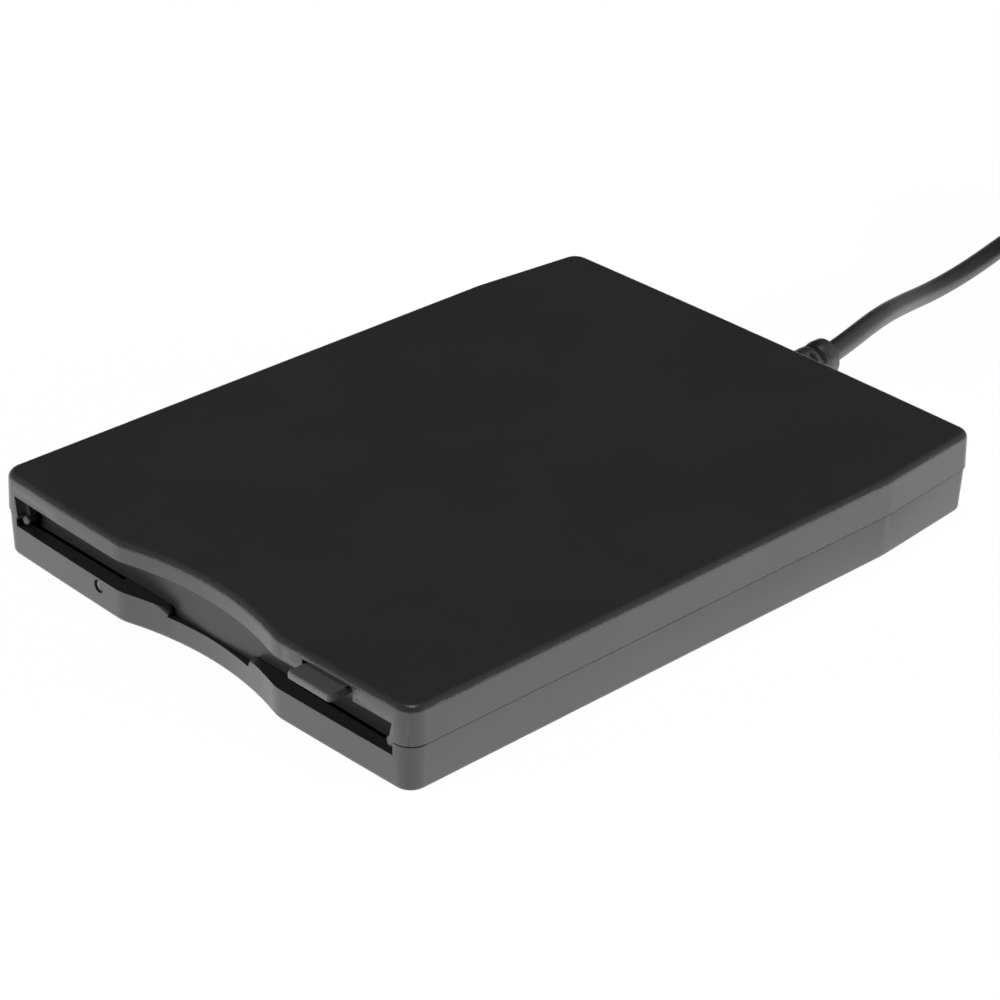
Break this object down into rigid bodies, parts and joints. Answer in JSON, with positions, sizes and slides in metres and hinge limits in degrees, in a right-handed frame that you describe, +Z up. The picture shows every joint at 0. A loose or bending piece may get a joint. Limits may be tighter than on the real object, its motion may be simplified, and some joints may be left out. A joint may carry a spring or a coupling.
{
  "type": "external floppy disk drive",
  "caption": "Slim desktop drive for 3.5 inch floppy disks: black two-part shell, front slot with dust door, eject button, activity light, and a cable with plug from the rear.",
  "frame": {"origin": "centre of the drive in X and Y with the eject button counted and the cord left out, at the underside of the feet", "axes": "+Z up, the disk slot faces -Y, +X to the right as seen from the front"},
  "size_m": [0.104, 0.2856, 0.0165],
  "materials": {
    "shell_black": "fine texture",
    "button_black": "satin",
    "door_black": "satin",
    "lens_clear": "clear, frosted",
    "diode_body": "smooth",
    "board_green": "smooth",
    "switch_black": "smooth",
    "foot_rubber": "matte",
    "screw_zinc": "plated",
    "sheet_zinc": "plated sheet",
    "spring_steel": "bright",
    "coil_copper": "enamelled wire",
    "bush_brass": "turned",
    "ground_steel": "ground",
    "carriage_plastic": "smooth",
    "head_ceramic": "polished",
    "motor_can": "plated",
    "chip_black": "moulded",
    "socket_white": "smooth",
    "cable_black": "smooth jacket",
    "plug_black": "smooth",
    "plug_nickel": "nickel plated",
    "tongue_white": "smooth",
    "contact_gold": "gilt"
  },
  "bodies": {
    "housing": {"upper_cover": "shell_black", "lower_cover": "shell_black", "light_pipe": "lens_clear", "light_source": "diode_body", "front_board": "board_green", "sensor_switches": "switch_black", "rubber_feet": "foot_rubber", "case_screws": "screw_zinc", "rear_screws": "screw_zinc", "chassis": "sheet_zinc", "eject_springs": "spring_steel", "stator_board": "board_green", "stator_coils": "coil_copper", "bearing_bush": "bush_brass", "guide_rods": "ground_steel", "stepper_motor": "motor_can", "circuit_board": "board_green", "board_standoffs": "bush_brass", "controller_chips": "chip_black", "board_sockets": "socket_white", "strain_relief": "cable_black", "usb_cable": "cable_black", "cable_coil": "cable_black", "cable_tail": "cable_black", "usb_plug": "plug_black", "usb_plug_shell": "plug_nickel", "usb_plug_tongue": "tongue_white", "usb_plug_contacts": "contact_gold"},
    "eject": {"eject_button": "button_black", "slide_plate": "sheet_zinc"},
    "carrier": {"disk_carrier": "sheet_zinc", "lever_rivet": "ground_steel"},
    "lever": {"shutter_lever": "sheet_zinc"},
    "door": {"dust_door": "door_black", "door_spring": "spring_steel"},
    "rotor": {"spindle_rotor": "motor_can"},
    "carriage": {"head_carriage": "carriage_plastic", "lower_head": "head_ceramic", "arm_pivot_pin": "ground_steel"},
    "arm": {"upper_head_arm": "carriage_plastic", "upper_head": "head_ceramic"},
    "screw": {"lead_screw": "ground_steel"}
  },
  "joints": [
    {"name": "eject_slide", "type": "slide", "parent": "housing", "child": "eject", "axis": [0, -1, 0], "range_m": [0, 0.005]},
    {"name": "carrier_drop", "type": "slide", "parent": "housing", "child": "carrier", "axis": [0, 0, -1], "range_m": [0, 0.0019]},
    {"name": "door_hinge", "type": "hinge", "parent": "housing", "child": "door", "pos_m": [0, -0.06263, 0.01255], "axis": [1, 0, 0], "range_deg": [0, 84], "stiffness_Nm_per_rad": 0.002, "springref_deg": -17.19},
    {"name": "shutter_lever_hinge", "type": "hinge", "parent": "carrier", "child": "lever", "pos_m": [-0.034, 0.024, 0.01325], "axis": [0, 0, 1], "range_deg": [0, 55], "stiffness_Nm_per_rad": 0.003, "springref_deg": -11.46},
    {"name": "spindle_turn", "type": "hinge", "parent": "housing", "child": "rotor", "pos_m": [0, -0.014, 0.005], "axis": [0, 0, 1], "continuous": true},
    {"name": "carriage_slide", "type": "slide", "parent": "housing", "child": "carriage", "axis": [0, -1, 0], "range_m": [0, 0.0148]},
    {"name": "lead_screw_turn", "type": "hinge", "parent": "housing", "child": "screw", "pos_m": [0.024, 0.04, 0.007], "axis": [0, 1, 0], "range_deg": [0, 1421]},
    {"name": "head_arm_hinge", "type": "hinge", "parent": "carriage", "child": "arm", "pos_m": [0, 0.049, 0.0096], "axis": [1, 0, 0], "range_deg": [0, 8.6]}
  ],
  "couplings": [
    {"joint": "carrier_drop", "follows": "eject_slide", "ratio": 0.38},
    {"joint": "head_arm_hinge", "follows": "eject_slide", "rad_per_m": 30},
    {"joint": "lead_screw_turn", "follows": "carriage_slide", "rad_per_m": 1675.5}
  ]
}
